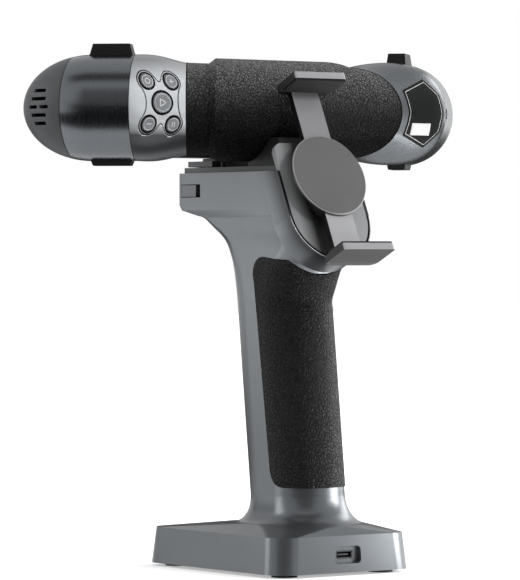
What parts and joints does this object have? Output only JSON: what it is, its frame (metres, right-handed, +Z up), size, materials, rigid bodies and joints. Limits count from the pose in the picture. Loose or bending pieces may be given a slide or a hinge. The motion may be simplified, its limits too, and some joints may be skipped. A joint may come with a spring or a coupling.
{
  "type": "handheld 3d scanner with desk stand",
  "caption": "Handheld 3-D scanner bar docked on a pistol-grip handle with a heavy desk base and a swivelling phone clamp.",
  "frame": {"origin": "middle of the bounding box, on the plane the feet stand on", "axes": "+Z up, +Y the way the scanner looks, +X to the right of someone behind it"},
  "size_m": [0.2374, 0.1282, 0.2435],
  "materials": {
    "handle_shell": "satin, finely textured",
    "grip_panel": "leather grain",
    "base_cover": "matt",
    "base_feet": "matt",
    "base_screws": "plain",
    "ballast": "plain",
    "battery_cells": "shrink sleeve",
    "battery_cradle": "matt",
    "power_board": "circuit board",
    "radio_board": "circuit board",
    "usb_socket": "plain",
    "dock_plate": "satin",
    "dock_screws": "plain",
    "connector_block": "fine texture",
    "mount_plate": "satin",
    "mount_screws": "dark",
    "swivel_pin": "plain",
    "friction_washer": "plain",
    "release_slider": "satin",
    "clamp_body": "satin",
    "front_disc": "satin with a bright chamfer",
    "lower_arm": "satin",
    "lower_jaw_pad": "matt",
    "upper_arm": "satin",
    "upper_jaw_pad": "matt",
    "front_housing": "satin",
    "front_window": "dark tinted",
    "dock_shoe": "satin",
    "shoe_screws": "plain",
    "optical_bench": "anodised",
    "camera_left": "matt",
    "camera_right": "matt",
    "led_ring_left": "diffusing",
    "led_ring_right": "diffusing",
    "projector": "matt",
    "colour_camera": "matt",
    "main_board": "circuit board",
    "fan_frame": "matt",
    "button_board": "circuit board",
    "grip_sleeve": "leather grain",
    "grip_core": "matt",
    "collar_left": "brushed, dark to silver",
    "collar_right": "brushed, dark to silver",
    "label_plate": "satin",
    "head_shell_left": "dark brushed",
    "head_shell_right": "dark brushed",
    "end_cap_left": "matt",
    "end_cap_right": "matt",
    "bumper_top_left": "matt",
    "bumper_top_right": "matt",
    "bumper_bottom_left": "matt",
    "bumper_bottom_right": "matt",
    "fan_rotor": "matt",
    "button_centre": "satin with a bright edge",
    "button_upper_left": "satin with a bright edge",
    "button_upper_right": "satin with a bright edge",
    "button_lower_left": "satin with a bright edge",
    "button_lower_right": "satin with a bright edge"
  },
  "bodies": {
    "handle": {"handle_shell": "handle_shell", "grip_panel": "grip_panel", "base_cover": "base_cover", "base_feet": "base_feet", "base_screws": "base_screws", "ballast": "ballast", "battery_cells": "battery_cells", "battery_cradle": "battery_cradle", "power_board": "power_board", "radio_board": "radio_board", "usb_socket": "usb_socket", "dock_plate": "dock_plate", "dock_screws": "dock_screws", "connector_block": "connector_block", "mount_plate": "mount_plate", "mount_screws": "mount_screws", "swivel_pin": "swivel_pin", "friction_washer": "friction_washer"},
    "release": {"release_slider": "release_slider"},
    "phone_clamp": {"clamp_body": "clamp_body", "front_disc": "front_disc", "lower_arm": "lower_arm", "lower_jaw_pad": "lower_jaw_pad"},
    "clamp_slide": {"upper_arm": "upper_arm", "upper_jaw_pad": "upper_jaw_pad"},
    "scanner": {"front_housing": "front_housing", "front_window": "front_window", "dock_shoe": "dock_shoe", "shoe_screws": "shoe_screws", "optical_bench": "optical_bench", "camera_left": "camera_left", "camera_right": "camera_right", "led_ring_left": "led_ring_left", "led_ring_right": "led_ring_right", "projector": "projector", "colour_camera": "colour_camera", "main_board": "main_board", "fan_frame": "fan_frame", "button_board": "button_board", "grip_sleeve": "grip_sleeve", "grip_core": "grip_core", "collar_left": "collar_left", "collar_right": "collar_right", "label_plate": "label_plate", "head_shell_left": "head_shell_left", "head_shell_right": "head_shell_right", "end_cap_left": "end_cap_left", "end_cap_right": "end_cap_right", "bumper_top_left": "bumper_top_left", "bumper_top_right": "bumper_top_right", "bumper_bottom_left": "bumper_bottom_left", "bumper_bottom_right": "bumper_bottom_right"},
    "fan": {"fan_rotor": "fan_rotor"},
    "button_centre_key": {"button_centre": "button_centre"},
    "button_upper_left_key": {"button_upper_left": "button_upper_left"},
    "button_upper_right_key": {"button_upper_right": "button_upper_right"},
    "button_lower_left_key": {"button_lower_left": "button_lower_left"},
    "button_lower_right_key": {"button_lower_right": "button_lower_right"}
  },
  "joints": [
    {"name": "scanner_lift", "type": "slide", "parent": "handle", "child": "scanner", "axis": [0, 0.4226, 0.9063], "range_m": [0, 0.06]},
    {"name": "release_slide", "type": "slide", "parent": "handle", "child": "release", "axis": [0, -1, 0], "range_m": [0, 0.004], "stiffness_N_per_m": 300},
    {"name": "phone_swivel", "type": "hinge", "parent": "handle", "child": "phone_clamp", "pos_m": [0, -0.02637, 0.18012], "axis": [0, -0.9063, 0.4226], "range_deg": [-90, 90]},
    {"name": "arm_slide", "type": "slide", "parent": "phone_clamp", "child": "clamp_slide", "axis": [0, 0.4226, 0.9063], "range_m": [-0.016, 0.006]},
    {"name": "fan_spin", "type": "hinge", "parent": "scanner", "child": "fan", "pos_m": [0.022, 0.01819, 0.2142], "axis": [0, 1, 0], "continuous": true},
    {"name": "button_centre_press", "type": "slide", "parent": "scanner", "child": "button_centre_key", "axis": [0, 1, 0], "range_m": [0, 0.0008], "stiffness_N_per_m": 400},
    {"name": "button_upper_left_press", "type": "slide", "parent": "scanner", "child": "button_upper_left_key", "axis": [0, 1, 0], "range_m": [0, 0.0008], "stiffness_N_per_m": 400},
    {"name": "button_upper_right_press", "type": "slide", "parent": "scanner", "child": "button_upper_right_key", "axis": [0, 1, 0], "range_m": [0, 0.0008], "stiffness_N_per_m": 400},
    {"name": "button_lower_left_press", "type": "slide", "parent": "scanner", "child": "button_lower_left_key", "axis": [0, 1, 0], "range_m": [0, 0.0008], "stiffness_N_per_m": 400},
    {"name": "button_lower_right_press", "type": "slide", "parent": "scanner", "child": "button_lower_right_key", "axis": [0, 1, 0], "range_m": [0, 0.0008], "stiffness_N_per_m": 400}
  ]
}
